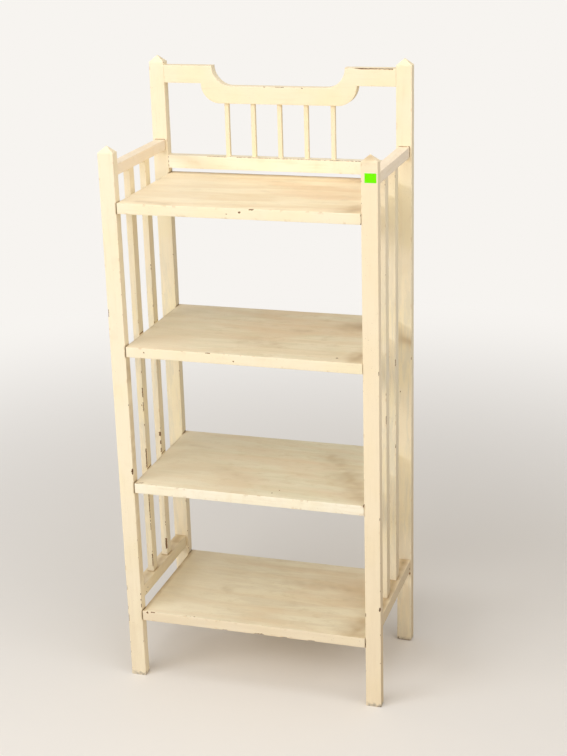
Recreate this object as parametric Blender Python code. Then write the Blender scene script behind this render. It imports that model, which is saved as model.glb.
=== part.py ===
"""A painted wooden etagere: four shelves between slatted side frames, with a spindled crest at the back.

Metres, +Z up. X runs left to right seen from the front, and -Y is the front. The origin lies on the floor,
under the middle of the piece. Left and right are the viewer's.
"""
import math

import bmesh
import bpy
from mathutils import Matrix, Vector

# Overall plan
OVERALL_WIDTH = 0.526
OVERALL_DEPTH = 0.293

# Posts: wider across the front than they are deep, with a four-sided point on top
POST_WIDTH = 0.0305
POST_DEPTH = 0.020
POST_POINT_HEIGHT = 0.0125

# Shelves, from the floor up
SHELF_THICKNESS = 0.0205
BOTTOM_SHELF_TOP = 0.148
LOWER_SHELF_RISE = 0.280
UPPER_SHELF_RISE = 0.2815
TOP_SHELF_RISE = 0.2785

# Side frames
FRONT_POST_RISE = 0.092
TOP_SIDE_RAIL_DROP = 0.025
TOP_SIDE_RAIL_HEIGHT = 0.0205
TOP_SIDE_RAIL_THICKNESS = 0.0215
TOP_SIDE_RAIL_RECESS = 0.0045
BOTTOM_SIDE_RAIL_GAP = 0.017
BOTTOM_SIDE_RAIL_HEIGHT = 0.025
BOTTOM_SIDE_RAIL_THICKNESS = 0.024
BOTTOM_SIDE_RAIL_RECESS = 0.0018
SLAT_THICKNESS = 0.0125
SLAT_WIDTH = 0.0225
SLAT_GAP = 0.057
SLAT_PAIR_FORWARD = 0.002

# Back: a low rail over the top shelf, five spindles and the crest rail
BACK_RAIL_GAP = 0.0105
BACK_RAIL_HEIGHT = 0.026
SPINDLE_COUNT = 5
SPINDLE_WIDTH = 0.0085
SPINDLE_SHOW = 0.1045
SPINDLE_END_MARGIN = 0.0111
CREST_BAND = 0.034
CREST_DROP = 0.0385
CREST_SHOULDER = 0.0755
CREST_STEP = 0.0235
CREST_BELOW_POINT = 0.006
CREST_ARC_STEPS = 18

# Joinery
FIT = 0.0003
SIDE_TENON_LENGTH = 0.012
SIDE_TENON_THICKNESS = 0.009
TENON_SHOULDER = 0.004
BACK_TENON_LENGTH = 0.014
BACK_TENON_THICKNESS = 0.008
SLAT_TENON_LENGTH = 0.008
SLAT_TENON_THICKNESS = 0.0065
SPINDLE_SOCKET_DEPTH = 0.009
NAIL_SHANK_RADIUS = 0.00105
NAIL_HEAD_RADIUS = 0.0017
NAIL_HEAD_HEIGHT = 0.001
NAIL_POINT_LENGTH = 0.003
NAIL_SET = 0.0008
NAIL_GRIP = 0.0145
NAIL_SIDES = 12

# Edges are eased by hand plane, and a cutter runs this far past the face that it enters
ARRIS = 0.0008
ARRIS_STEPS = 2
OVERCUT = 0.002
MERGE_DISTANCE = 0.00001
SMOOTH_ANGLE = math.radians(30)
SQUARE_EDGE_ANGLE = math.radians(45)

# Heights that follow
LOWER_SHELF_TOP = BOTTOM_SHELF_TOP + LOWER_SHELF_RISE
UPPER_SHELF_TOP = LOWER_SHELF_TOP + UPPER_SHELF_RISE
TOP_SHELF_TOP = UPPER_SHELF_TOP + TOP_SHELF_RISE
SHELF_TOPS = {
    "bottom_shelf": BOTTOM_SHELF_TOP,
    "lower_shelf": LOWER_SHELF_TOP,
    "upper_shelf": UPPER_SHELF_TOP,
    "top_shelf": TOP_SHELF_TOP,
}
FRONT_SHAFT_TOP = TOP_SHELF_TOP + FRONT_POST_RISE
TOP_SIDE_RAIL_TOP = FRONT_SHAFT_TOP - TOP_SIDE_RAIL_DROP
TOP_SIDE_RAIL_BOTTOM = TOP_SIDE_RAIL_TOP - TOP_SIDE_RAIL_HEIGHT
BOTTOM_SIDE_RAIL_BOTTOM = BOTTOM_SHELF_TOP + BOTTOM_SIDE_RAIL_GAP
BOTTOM_SIDE_RAIL_TOP = BOTTOM_SIDE_RAIL_BOTTOM + BOTTOM_SIDE_RAIL_HEIGHT
BACK_RAIL_BOTTOM = TOP_SHELF_TOP + BACK_RAIL_GAP
BACK_RAIL_TOP = BACK_RAIL_BOTTOM + BACK_RAIL_HEIGHT
CREST_MIDDLE_BOTTOM = BACK_RAIL_TOP + SPINDLE_SHOW
CREST_MIDDLE_TOP = CREST_MIDDLE_BOTTOM + CREST_BAND
CREST_END_BOTTOM = CREST_MIDDLE_BOTTOM + CREST_DROP
CREST_END_TOP = CREST_MIDDLE_TOP + CREST_DROP
BACK_SHAFT_TOP = CREST_END_TOP + CREST_BELOW_POINT

# Widths and depths that follow
HALF_WIDTH = OVERALL_WIDTH / 2
HALF_DEPTH = OVERALL_DEPTH / 2
POST_X = HALF_WIDTH - POST_WIDTH / 2
POST_Y = HALF_DEPTH - POST_DEPTH / 2
CLEAR_HALF_WIDTH = HALF_WIDTH - POST_WIDTH
CLEAR_HALF_DEPTH = HALF_DEPTH - POST_DEPTH
SIDE_RAIL_HEIGHTS = {
    "top": (TOP_SIDE_RAIL_BOTTOM, TOP_SIDE_RAIL_TOP),
    "bottom": (BOTTOM_SIDE_RAIL_BOTTOM, BOTTOM_SIDE_RAIL_TOP),
}
SIDE_RAIL_THICKNESSES = {"top": TOP_SIDE_RAIL_THICKNESS, "bottom": BOTTOM_SIDE_RAIL_THICKNESS}
SIDE_RAIL_XS = {
    "top": HALF_WIDTH - TOP_SIDE_RAIL_RECESS - TOP_SIDE_RAIL_THICKNESS / 2,
    "bottom": HALF_WIDTH - BOTTOM_SIDE_RAIL_RECESS - BOTTOM_SIDE_RAIL_THICKNESS / 2,
}
SLAT_SPACING = SLAT_GAP + SLAT_WIDTH
SLAT_YS = {
    "front": -SLAT_SPACING / 2 - SLAT_PAIR_FORWARD,
    "rear": SLAT_SPACING / 2 - SLAT_PAIR_FORWARD,
}
CREST_FLAT_HALF = CLEAR_HALF_WIDTH - CREST_SHOULDER - CREST_DROP
SPINDLE_PITCH = 2 * (CREST_FLAT_HALF - SPINDLE_END_MARGIN) / (SPINDLE_COUNT - 1)
SIDES = {"left": -1, "right": 1}
ENDS = {"front": -1, "back": 1}


def clear_scene():
    """Removes whatever the file opened with."""
    for thing in list(bpy.data.objects):
        bpy.data.objects.remove(thing, do_unlink=True)


def make_material(name, colour, roughness, metallic=0.0):
    """A plain Principled material in the piece's colour."""
    material = bpy.data.materials.new(name)
    material.use_nodes = True
    shader = material.node_tree.nodes["Principled BSDF"]
    shader.inputs["Base Color"].default_value = (*colour, 1.0)
    shader.inputs["Roughness"].default_value = roughness
    shader.inputs["Metallic"].default_value = metallic
    return material


def finish_mesh(bm, name):
    """Turns a bmesh into a mesh whose faces point outwards, smooth over its curves."""
    bmesh.ops.recalc_face_normals(bm, faces=bm.faces)
    mesh = bpy.data.meshes.new(name)
    bm.to_mesh(mesh)
    bm.free()
    mesh.shade_smooth()
    mesh.set_sharp_from_angle(angle=SMOOTH_ANGLE)
    return mesh


def place(name, mesh, material, location=(0.0, 0.0, 0.0)):
    """One named piece."""
    if not mesh.materials:
        mesh.materials.append(material)
    piece = bpy.data.objects.new(name, mesh)
    piece.location = location
    bpy.context.scene.collection.objects.link(piece)
    return piece


def add_box(bm, low, high):
    """Adds a box between two corners."""
    low = Vector(low)
    high = Vector(high)
    matrix = Matrix.Translation((low + high) / 2) @ Matrix.Diagonal((*(high - low), 1.0))
    bmesh.ops.create_cube(bm, size=1.0, matrix=matrix)


def ease(bm, edges):
    """Rounds the arrises slightly, as a plane and old paint leave them."""
    bmesh.ops.bevel(bm, geom=edges, offset=ARRIS, offset_type="OFFSET", segments=ARRIS_STEPS,
                    profile=0.5, affect="EDGES", clamp_overlap=True, material=-1)


def board_mesh(name, size_x, size_y, size_z):
    """A squared board, centred, with its arrises eased."""
    bm = bmesh.new()
    half = Vector((size_x, size_y, size_z)) / 2
    add_box(bm, -half, half)
    ease(bm, list(bm.edges))
    return finish_mesh(bm, name)


def add_nail_shape(bm, origin, direction, clearance, lead):
    """Adds a nail, or its bore where it has clearance, running along X from its head.

    origin is the centre of the head's outer face, direction is -1 or 1, and lead is how far a bore
    runs out past the head.
    """
    shank = NAIL_SHANK_RADIUS + clearance
    head = NAIL_HEAD_RADIUS + clearance
    length = POST_WIDTH - NAIL_SET + FIT + NAIL_GRIP + clearance
    head_end = NAIL_HEAD_HEIGHT + clearance
    profile = [
        (-lead, 0.0),
        (-lead, head),
        (head_end, head),
        (head_end, shank),
        (length - NAIL_POINT_LENGTH, shank),
        (length, shank / 2),
        (length, 0.0),
    ]
    others = set(bm.verts)
    points = [bm.verts.new((along, radius, 0.0)) for along, radius in profile]
    chain = [bm.edges.new(pair) for pair in zip(points, points[1:])]
    bmesh.ops.spin(bm, geom=points + chain, cent=(0.0, 0.0, 0.0), axis=(1.0, 0.0, 0.0),
                   angle=2 * math.pi, steps=NAIL_SIDES, use_merge=True, use_duplicate=False)
    turned = [vert for vert in bm.verts if vert not in others]
    bmesh.ops.remove_doubles(bm, verts=turned, dist=MERGE_DISTANCE)
    turned = [vert for vert in bm.verts if vert not in others]
    facing = Matrix.Diagonal((direction, 1.0, 1.0, 1.0))
    bmesh.ops.transform(bm, verts=turned, matrix=Matrix.Translation(origin) @ facing)


def nail_head_point(side, end, shelf):
    """Where a nail's head lies: in the post's outer face, at the middle of the shelf's edge."""
    height = SHELF_TOPS[shelf] - SHELF_THICKNESS / 2
    return Vector((SIDES[side] * (HALF_WIDTH - NAIL_SET), ENDS[end] * POST_Y, height))


def helper_object(name, bm):
    """A guide that only Boolean modifiers read."""
    helper = bpy.data.objects.new(name, finish_mesh(bm, name))
    helper.hide_render = True
    helper.display_type = "WIRE"
    bpy.context.scene.collection.objects.link(helper)
    return helper


def combine(piece, helper, operation):
    """Joins a helper's volume to a piece, or cuts it away."""
    modifier = piece.modifiers.new(operation.title(), "BOOLEAN")
    modifier.operation = operation
    modifier.solver = "EXACT"
    modifier.object = helper


def cut(piece, boxes=(), nails=()):
    """Cuts mortises, given as pairs of corners, and nail bores, given as (side, end, shelf)."""
    bm = bmesh.new()
    for low, high in boxes:
        add_box(bm, low, high)
    for side, end, shelf in nails:
        add_nail_shape(bm, nail_head_point(side, end, shelf), -SIDES[side], FIT, NAIL_SET + OVERCUT)
    combine(piece, helper_object(piece.name + "_cutter", bm), "DIFFERENCE")


def add_core(piece, low, high):
    """Adds a long core through a rail, whose two ends are its tenons."""
    bm = bmesh.new()
    add_box(bm, low, high)
    combine(piece, helper_object(piece.name + "_core", bm), "UNION")


def grown(low, high, mouth):
    """A mortise: the tenon's box with clearance, run out past its mouth, which is a face such as '+x'."""
    low = Vector(low) - Vector((FIT, FIT, FIT))
    high = Vector(high) + Vector((FIT, FIT, FIT))
    axis = "xyz".index(mouth[1])
    if mouth[0] == "+":
        high[axis] += OVERCUT
    else:
        low[axis] -= OVERCUT
    return low, high


def side_tenon_box(side, end, level):
    """The tenon of the top or the bottom side rail in the front or the back post."""
    rail_bottom, rail_top = SIDE_RAIL_HEIGHTS[level]
    half = SIDE_TENON_THICKNESS / 2
    centre = SIDES[side] * SIDE_RAIL_XS[level]
    face = CLEAR_HALF_DEPTH
    tip = face + SIDE_TENON_LENGTH
    near, far = sorted((ENDS[end] * face, ENDS[end] * tip))
    low = (centre - half, near, rail_bottom + TENON_SHOULDER)
    high = (centre + half, far, rail_top - TENON_SHOULDER)
    return low, high


def back_tenon_box(side, rail_bottom, rail_top):
    """The tenon of the crest or the back rail in a back post."""
    half = BACK_TENON_THICKNESS / 2
    face = CLEAR_HALF_WIDTH
    tip = face + BACK_TENON_LENGTH
    near, far = sorted((SIDES[side] * face, SIDES[side] * tip))
    low = (near, POST_Y - half, rail_bottom + TENON_SHOULDER)
    high = (far, POST_Y + half, rail_top - TENON_SHOULDER)
    return low, high


def slat_tenon_box(side, end, upper):
    """The stub tenon of a slat, in the top or the bottom side rail."""
    half_x = SLAT_TENON_THICKNESS / 2
    half_y = SLAT_WIDTH / 2 - TENON_SHOULDER
    x = SIDES[side] * POST_X
    y = SLAT_YS[end]
    if upper:
        bottom = TOP_SIDE_RAIL_BOTTOM
        top = bottom + SLAT_TENON_LENGTH
    else:
        top = BOTTOM_SIDE_RAIL_TOP
        bottom = top - SLAT_TENON_LENGTH
    return (x - half_x, y - half_y, bottom), (x + half_x, y + half_y, top)


def spindle_socket(number, upper):
    """The square socket of a spindle, in the crest or in the back rail."""
    half = SPINDLE_WIDTH / 2
    x = spindle_x(number)
    if upper:
        bottom = CREST_MIDDLE_BOTTOM
        top = bottom + SPINDLE_SOCKET_DEPTH
    else:
        top = BACK_RAIL_TOP
        bottom = top - SPINDLE_SOCKET_DEPTH
    return (x - half, POST_Y - half, bottom), (x + half, POST_Y + half, top)


def spindle_x(number):
    """The spindles spread evenly over the crest's lower straight, counted from the left."""
    return (number - (SPINDLE_COUNT + 1) / 2) * SPINDLE_PITCH


def post_mesh(name, shaft_height):
    """A post blank, standing on its foot, with a four-sided point on top."""
    bm = bmesh.new()
    half_x = POST_WIDTH / 2
    half_y = POST_DEPTH / 2
    add_box(bm, (-half_x, -half_y, 0.0), (half_x, half_y, shaft_height))
    top_face = max(bm.faces, key=lambda face: face.calc_center_median().z)
    bmesh.ops.poke(bm, faces=[top_face], offset=POST_POINT_HEIGHT)
    shaft_edges = [edge for edge in bm.edges if min(vert.co.z for vert in edge.verts) < shaft_height / 2]
    ease(bm, shaft_edges)
    return finish_mesh(bm, name)


def make_posts(paint):
    """Four posts, mortised for the rails and bored for the shelf nails."""
    blanks = {
        "front": post_mesh("front_post_blank", FRONT_SHAFT_TOP),
        "back": post_mesh("back_post_blank", BACK_SHAFT_TOP),
    }
    for end in ENDS:
        for side in SIDES:
            location = (SIDES[side] * POST_X, ENDS[end] * POST_Y, 0.0)
            post = place(f"{end}_{side}_post", blanks[end], paint, location)
            toward_rail = "+y" if end == "front" else "-y"
            mortises = [grown(*side_tenon_box(side, end, level), toward_rail) for level in SIDE_RAIL_HEIGHTS]
            if end == "back":
                toward_crest = "+x" if side == "left" else "-x"
                mortises += [
                    grown(*back_tenon_box(side, BACK_RAIL_BOTTOM, BACK_RAIL_TOP), toward_crest),
                    grown(*back_tenon_box(side, CREST_END_BOTTOM, CREST_END_TOP), toward_crest),
                ]
            cut(post, mortises, [(side, end, shelf) for shelf in SHELF_TOPS])


def make_shelves(paint):
    """Four boards butted between the posts, with the nails' pilot holes in their ends."""
    blank = board_mesh("shelf_blank", 2 * (CLEAR_HALF_WIDTH - FIT), OVERALL_DEPTH, SHELF_THICKNESS)
    for shelf, top in SHELF_TOPS.items():
        board = place(shelf, blank, paint, (0.0, 0.0, top - SHELF_THICKNESS / 2))
        cut(board, nails=[(side, end, shelf) for side in SIDES for end in ENDS])


def make_nails(steel):
    """A nail through each post into each shelf's end."""
    bm = bmesh.new()
    add_nail_shape(bm, Vector((0.0, 0.0, 0.0)), 1, 0.0, 0.0)
    nail = finish_mesh(bm, "shelf_nail")
    for shelf in SHELF_TOPS:
        for end in ENDS:
            for side in SIDES:
                piece = place(f"{shelf}_nail_{end}_{side}", nail, steel, nail_head_point(side, end, shelf))
                if side == "right":
                    piece.rotation_euler.z = math.pi


def make_side_frames(rail_paint, slat_paint):
    """Each side: a top and a bottom rail from post to post, with two upright slats between them."""
    rail_length = 2 * (CLEAR_HALF_DEPTH - FIT)
    slat_bottom = BOTTOM_SIDE_RAIL_TOP + FIT
    slat_top = TOP_SIDE_RAIL_BOTTOM - FIT
    slat_blank = board_mesh("slat_blank", SLAT_THICKNESS, SLAT_WIDTH, slat_top - slat_bottom)
    for level, (bottom, top) in SIDE_RAIL_HEIGHTS.items():
        blank = board_mesh(f"{level}_rail_blank", SIDE_RAIL_THICKNESSES[level], rail_length, top - bottom)
        upper = level == "top"
        mouth = "-z" if upper else "+z"
        for side in SIDES:
            x = SIDES[side] * SIDE_RAIL_XS[level]
            rail = place(f"{side}_{level}_rail", blank, rail_paint, (x, 0.0, (bottom + top) / 2))
            add_core(rail, side_tenon_box(side, "front", level)[0], side_tenon_box(side, "back", level)[1])
            cut(rail, [grown(*slat_tenon_box(side, end, upper), mouth) for end in SLAT_YS])
    for side in SIDES:
        for end, y in SLAT_YS.items():
            middle = (SIDES[side] * POST_X, y, (slat_bottom + slat_top) / 2)
            slat = place(f"{side}_{end}_slat", slat_blank, slat_paint, middle)
            add_core(slat, slat_tenon_box(side, end, False)[0], slat_tenon_box(side, end, True)[1])


def quarter_arc(centre_x, centre_z, start):
    """Points of a quarter circle of the crest's drop, from the angle start, anticlockwise."""
    angles = [start + math.pi / 2 * step / CREST_ARC_STEPS for step in range(CREST_ARC_STEPS + 1)]
    return [(centre_x + CREST_DROP * math.cos(a), centre_z + CREST_DROP * math.sin(a)) for a in angles]


def crest_outline():
    """The crest's outline in X and Z, anticlockwise seen from the front, with two quarter-round drops."""
    end_x = CLEAR_HALF_WIDTH - FIT
    under_x = CREST_FLAT_HALF
    over_x = under_x - CREST_STEP
    right_under = quarter_arc(under_x, CREST_END_BOTTOM, -math.pi / 2)
    right_over = quarter_arc(over_x, CREST_END_TOP, -math.pi / 2)
    right_over.reverse()
    right_half = right_under + [(end_x, CREST_END_BOTTOM), (end_x, CREST_END_TOP)] + right_over
    left_half = [(-x, z) for x, z in reversed(right_half)]
    return right_half + left_half


def make_crest(paint):
    """The crest rail: its dropped outline sawn from one board, tenoned at the ends and socketed below."""
    bm = bmesh.new()
    corners = [bm.verts.new((x, POST_Y - POST_DEPTH / 2, z)) for x, z in crest_outline()]
    front = bm.faces.new(corners)
    back = bmesh.ops.extrude_face_region(bm, geom=[front])["geom"]
    moved = [item for item in back if isinstance(item, bmesh.types.BMVert)]
    bmesh.ops.translate(bm, verts=moved, vec=(0.0, POST_DEPTH, 0.0))
    bmesh.ops.recalc_face_normals(bm, faces=bm.faces)
    ease(bm, [edge for edge in bm.edges if edge.calc_face_angle(0.0) > SQUARE_EDGE_ANGLE])
    crest = place("crest_rail", finish_mesh(bm, "crest_rail"), paint)
    for side in SIDES:
        low, high = back_tenon_box(side, CREST_END_BOTTOM, CREST_END_TOP)
        bm = bmesh.new()
        inner = CLEAR_HALF_WIDTH - CREST_SHOULDER / 2
        if side == "left":
            high = (-inner, high[1], high[2])
        else:
            low = (inner, low[1], low[2])
        add_box(bm, low, high)
        combine(crest, helper_object(f"crest_rail_{side}_core", bm), "UNION")
    cut(crest, [grown(*spindle_socket(number, True), "-z") for number in range(1, SPINDLE_COUNT + 1)])


def make_back_rail(paint):
    """The low rail over the top shelf, tenoned into the back posts, with spindle sockets in its top edge."""
    length = 2 * (CLEAR_HALF_WIDTH - FIT)
    blank = board_mesh("back_rail_blank", length, POST_DEPTH, BACK_RAIL_HEIGHT)
    rail = place("back_rail", blank, paint, (0.0, POST_Y, (BACK_RAIL_BOTTOM + BACK_RAIL_TOP) / 2))
    low = back_tenon_box("left", BACK_RAIL_BOTTOM, BACK_RAIL_TOP)[0]
    high = back_tenon_box("right", BACK_RAIL_BOTTOM, BACK_RAIL_TOP)[1]
    add_core(rail, low, high)
    cut(rail, [grown(*spindle_socket(number, False), "+z") for number in range(1, SPINDLE_COUNT + 1)])


def make_spindles(paint):
    """Square spindles, let into the back rail and the crest at their full section."""
    bottom = BACK_RAIL_TOP - SPINDLE_SOCKET_DEPTH
    top = CREST_MIDDLE_BOTTOM + SPINDLE_SOCKET_DEPTH
    blank = board_mesh("spindle_blank", SPINDLE_WIDTH, SPINDLE_WIDTH, top - bottom)
    for number in range(1, SPINDLE_COUNT + 1):
        place(f"back_spindle_{number}", blank, paint, (spindle_x(number), POST_Y, (bottom + top) / 2))


def main():
    """Builds the whole piece."""
    clear_scene()
    rail_paint = make_material("rail_paint", (0.74, 0.64, 0.46), 0.6)
    make_posts(make_material("post_paint", (0.86, 0.78, 0.60), 0.55))
    make_shelves(make_material("shelf_paint", (0.68, 0.56, 0.36), 0.5))
    make_side_frames(rail_paint, make_material("slat_paint", (0.82, 0.73, 0.54), 0.55))
    make_crest(make_material("crest_paint", (0.84, 0.76, 0.58), 0.55))
    make_back_rail(rail_paint)
    make_spindles(make_material("spindle_paint", (0.84, 0.75, 0.56), 0.55))
    make_nails(make_material("nail_steel", (0.22, 0.20, 0.18), 0.5, 0.9))


main()
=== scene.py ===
import math
import random

import bmesh
import bpy
from mathutils import Matrix, Vector, geometry, noise


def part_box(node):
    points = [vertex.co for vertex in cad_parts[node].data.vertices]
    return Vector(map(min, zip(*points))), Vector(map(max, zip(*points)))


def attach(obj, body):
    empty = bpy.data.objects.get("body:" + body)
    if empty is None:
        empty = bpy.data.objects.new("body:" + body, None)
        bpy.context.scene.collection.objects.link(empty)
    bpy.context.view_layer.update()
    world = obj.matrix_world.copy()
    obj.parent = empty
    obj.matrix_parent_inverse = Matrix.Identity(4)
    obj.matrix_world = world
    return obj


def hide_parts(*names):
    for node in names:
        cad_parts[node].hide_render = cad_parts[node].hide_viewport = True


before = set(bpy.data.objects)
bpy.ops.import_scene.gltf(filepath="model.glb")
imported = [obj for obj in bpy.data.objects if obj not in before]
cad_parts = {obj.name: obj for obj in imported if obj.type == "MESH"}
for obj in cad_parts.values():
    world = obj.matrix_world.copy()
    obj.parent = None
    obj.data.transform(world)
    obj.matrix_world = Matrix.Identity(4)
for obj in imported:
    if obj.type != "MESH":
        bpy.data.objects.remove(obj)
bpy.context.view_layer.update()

# All lengths are in metres
UP = Vector((0, 0, 1))
FRONT = Vector((0, -1, 0))
RIGHT = Vector((1, 0, 0))

# How finely the pieces are cut, and how near two points are one
POST_CELL = 0.003
BOARD_CELL = 0.005
STICK_CELL = 0.0025
SPINDLE_CELL = 0.002
FINEST_CELL = 0.0009
TINY = 0.00001

# From which angle an edge is a corner, is shaded sharp, or counts as an arris
SHARP_CORNER = math.radians(40)
SMOOTH_ANGLE = math.radians(38)
ARRIS_ANGLE = math.radians(9)

# How wide the arrises are rounded
EASE = 0.0005
EAVE_EASE = 0.0004
SHELF_EASE = 0.0008

# The posts: the least length of a long arris, and their points' height and number of rings
SHAFT_LEAST = 0.5
POINT_HEIGHT = 0.0125
POINT_RINGS = 5

# The crest: its band, the centre of its quarter-round cut, and how far out the lower cut stands
CREST_BAND = 0.034
CREST_COVE_X = 0.095
CREST_STEP = 0.0235
CREST_BAND_CUTS = 10
CREST_ARC_STEPS = 20

# How far the faces of a tenon stand in from the faces of its stick
TOP_RAIL_MARGIN = 0.005
BOTTOM_RAIL_MARGIN = 0.006
BACK_RAIL_MARGIN = 0.005
SLAT_MARGIN = 0.003
SPINDLE_MARGIN = 0.0008

# The right slats are fuller than their solids, to the left and to the rear
RIGHT_SLAT_FULLER = (0.0012, 0.0014)

# A shelf has a ring of vertices this far from each end, for its dark end line
END_RING = 0.0019

# How deep the paint, the plane marks and the rubbing at an arris go
PAINT_SETBACK = 0.00004
PLANE_MARKS = 0.00010
ARRIS_RUB = 0.0005

# How fine waves, ripples and rubbed places are, and from where rubbing counts
WAVE_SCALE = 11
RIPPLE_SCALE = 75
RUB_SCALE = 38
RUB_LEAST = 0.12

# Knocks: how far they spread, and how ragged, how fine and how steep their edges are
KNOCK_SPREAD = 1.5
KNOCK_RAGGED = 0.55
KNOCK_SCALE = 520
KNOCK_STEEPNESS = 2.6

# How far beyond a mark smaller cells are looked for
MARK_MARGIN = 0.006

# Nicks: their greatest length and their depth, in shares of their reach
NICK_LENGTH = 4
NICK_DEPTH = 0.4

# The hollows over the set nails
DIMPLE_SPREAD = 1.3
DIMPLE_RADIUS = 0.0024
DIMPLE_DEPTH = 0.00045

# Grime: how squarely a face has to look the right way, and how high a foot is scuffed
STAIN_FACING = 0.55
FOOT_SCUFF_HEIGHT = 0.012


# Wood shapes

def blank(low, high):
    """A sawn block of wood between two corners."""
    bm = bmesh.new()
    bmesh.ops.create_cube(bm, size=1.0)
    bmesh.ops.scale(bm, vec=high - low, verts=bm.verts)
    bmesh.ops.translate(bm, vec=(low + high) / 2, verts=bm.verts)
    return bm


def run_of(edge):
    """The way an edge goes, as a vector."""
    return edge.verts[1].co - edge.verts[0].co


def every_part(bm):
    """All vertices, edges and faces of a shape."""
    return list(bm.verts) + list(bm.edges) + list(bm.faces)


def vertices_in(swept):
    """The new vertices that an extrusion has made."""
    return [part for part in swept["geom"] if isinstance(part, bmesh.types.BMVert)]


def edges_along(bm, axis, shortest):
    """Edges that run along one axis and are longer than the shortest."""
    found = []
    for edge in bm.edges:
        run = run_of(edge)
        if run.length > shortest and abs(run[axis]) > 0.95 * run.length:
            found.append(edge)
    return found


def ease(bm, edges, width):
    """Rounds arrises over, as sanding and many coats of paint do."""
    bmesh.ops.bevel(bm, geom=edges, offset=width, offset_type="OFFSET", affect="EDGES",
                    segments=3, profile=0.5, material=-1, clamp_overlap=True)


def set_out(bm, cell, axes=(0, 1, 2)):
    """Divides the long edges into even cells, which later carry dents, chips and grime."""
    for axis in axes:
        groups = {}
        for edge in edges_along(bm, axis, 1.5 * cell):
            cuts = round(edge.calc_length() / cell) - 1
            groups.setdefault(cuts, []).append(edge)
        for cuts in sorted(groups):
            if cuts > 0:
                bmesh.ops.subdivide_edges(bm, edges=groups[cuts], cuts=cuts)


def add_tenons(bm, axis, margin, low_length, high_length):
    """Draws a shouldered tenon out of each end of a stick."""
    for sign, length in ((-1, low_length), (1, high_length)):
        bm.normal_update()
        end = max(bm.faces, key=lambda face: sign * face.calc_center_median()[axis])
        bmesh.ops.inset_region(bm, faces=[end], thickness=margin, depth=0.0)
        drawn = bmesh.ops.extrude_face_region(bm, geom=[end])
        step = Vector((0, 0, 0))
        step[axis] = sign * length
        bmesh.ops.translate(bm, vec=step, verts=vertices_in(drawn))
        bmesh.ops.delete(bm, geom=[end], context="FACES_ONLY")


def stick(node, axis, shoulders, margin, cell, fuller=(0, 0)):
    """A rail, slat or spindle with a tenon at each end, fuller to the left and the rear if wanted."""
    low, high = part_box(node)
    body_low, body_high = low.copy(), high.copy()
    body_low[axis], body_high[axis] = shoulders
    body_low.x -= fuller[0]
    body_high.y += fuller[1]
    bm = blank(body_low, body_high)
    add_tenons(bm, axis, margin, body_low[axis] - low[axis], high[axis] - body_high[axis])
    half_length = 0.5 * (body_high[axis] - body_low[axis])
    ease(bm, edges_along(bm, axis, half_length), EASE)
    set_out(bm, cell)
    return bm


def post(node, eave):
    """A post with a low four-sided point on top, which begins at the eave."""
    low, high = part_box(node)
    centre = (low + high) / 2
    bm = blank(low, Vector((high.x, high.y, eave)))
    ease(bm, edges_along(bm, 2, SHAFT_LEAST), EASE)
    set_out(bm, POST_CELL, (0, 1))
    bm.normal_update()
    ends = [face for face in bm.faces if abs(face.normal.z) > 0.9]
    bmesh.ops.dissolve_faces(bm, faces=ends, use_verts=False)
    for ring in range(1, POINT_RINGS + 1):
        bm.normal_update()
        top = max(bm.faces, key=lambda face: face.calc_center_median().z)
        moved = vertices_in(bmesh.ops.extrude_face_region(bm, geom=[top]))
        share = 1 - ring / POINT_RINGS
        before = 1 - (ring - 1) / POINT_RINGS
        bmesh.ops.scale(bm, vec=(share / before, share / before, 1), verts=moved,
                        space=Matrix.Translation(-centre))
        bmesh.ops.translate(bm, vec=(0, 0, (high.z - eave) / POINT_RINGS), verts=moved)
        bmesh.ops.delete(bm, geom=[top], context="FACES_ONLY")
    bmesh.ops.remove_doubles(bm, verts=bm.verts, dist=TINY)
    eaves = [edge for edge in bm.edges
             if all(abs(vert.co.z - eave) < TINY for vert in edge.verts)]
    ease(bm, eaves, EAVE_EASE)
    set_out(bm, POST_CELL, (2,))
    return bm


def shelf(node):
    """One flat shelf board, its arrises rounded by use."""
    low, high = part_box(node)
    bm = blank(low, high)
    ease(bm, list(bm.edges), SHELF_EASE)
    for x in (low.x + END_RING, high.x - END_RING):
        bmesh.ops.bisect_plane(bm, geom=every_part(bm), plane_co=(x, 0, 0), plane_no=(1, 0, 0))
    set_out(bm, BOARD_CELL)
    return bm


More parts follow.
